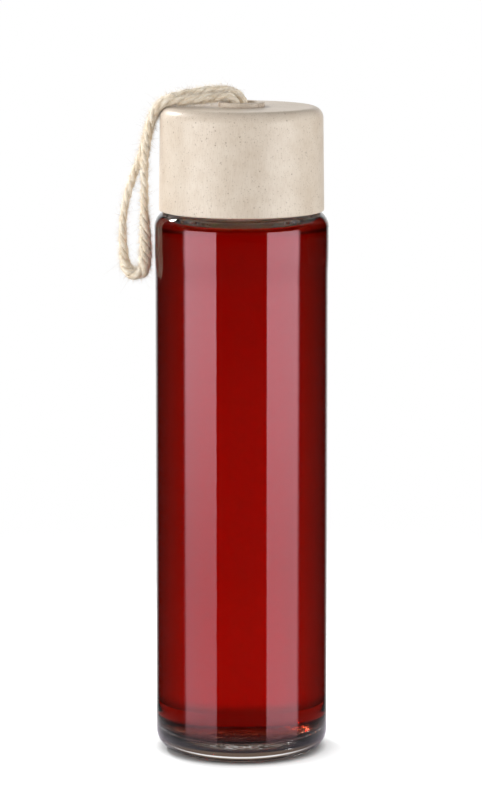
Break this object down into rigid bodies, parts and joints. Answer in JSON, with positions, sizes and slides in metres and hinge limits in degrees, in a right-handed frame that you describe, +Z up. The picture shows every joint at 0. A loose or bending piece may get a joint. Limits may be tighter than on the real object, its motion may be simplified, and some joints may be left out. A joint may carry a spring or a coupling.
{
  "type": "glass drinking bottle",
  "caption": "Straight glass drinking bottle with a screw lid in fibre-filled plastic, a flat seal inside it and a doubled cotton carrying cord knotted through the lid.",
  "frame": {"origin": "middle of the foot ring that the bottle stands on", "axes": "+Z up along the bottle's axis, the cord hangs on the -X side, -Y towards the camera of the picture"},
  "size_m": [0.0754, 0.0624, 0.2412],
  "materials": {
    "glass": "clear, fire polished",
    "drink": "clear red liquid, the visible fill",
    "silicone": "translucent white silicone, matt",
    "liner_plastic": "moulded, satin",
    "fibre_plastic": "beige, filled with plant fibre, fine brown specks, satin",
    "cotton": "natural twisted cotton"
  },
  "bodies": {
    "bottle": {"glass_bottle": "glass"},
    "seal": {"seal_ring": "silicone"},
    "cord": {"cord_loop": "cotton", "cord_knot": "cotton"},
    "lid": {"lid_shell": "fibre_plastic", "inner_cap": "liner_plastic", "cord_grommet": "fibre_plastic"}
  },
  "joints": [
    {"name": "lid_lift", "type": "slide", "parent": "bottle", "child": "seal", "axis": [0, 0, 1], "range_m": [0, 0.06]},
    {"name": "lid_rise", "type": "slide", "parent": "seal", "child": "cord", "axis": [0, 0, 1], "range_m": [0, 0.006]},
    {"name": "lid_turn", "type": "hinge", "parent": "cord", "child": "lid", "pos_m": [0, 0, 0.2], "axis": [0, 0, 1], "range_deg": [0, 540]}
  ],
  "couplings": [
    {"joint": "lid_rise", "follows": "lid_turn", "m_per_rad": 0.00063662}
  ]
}
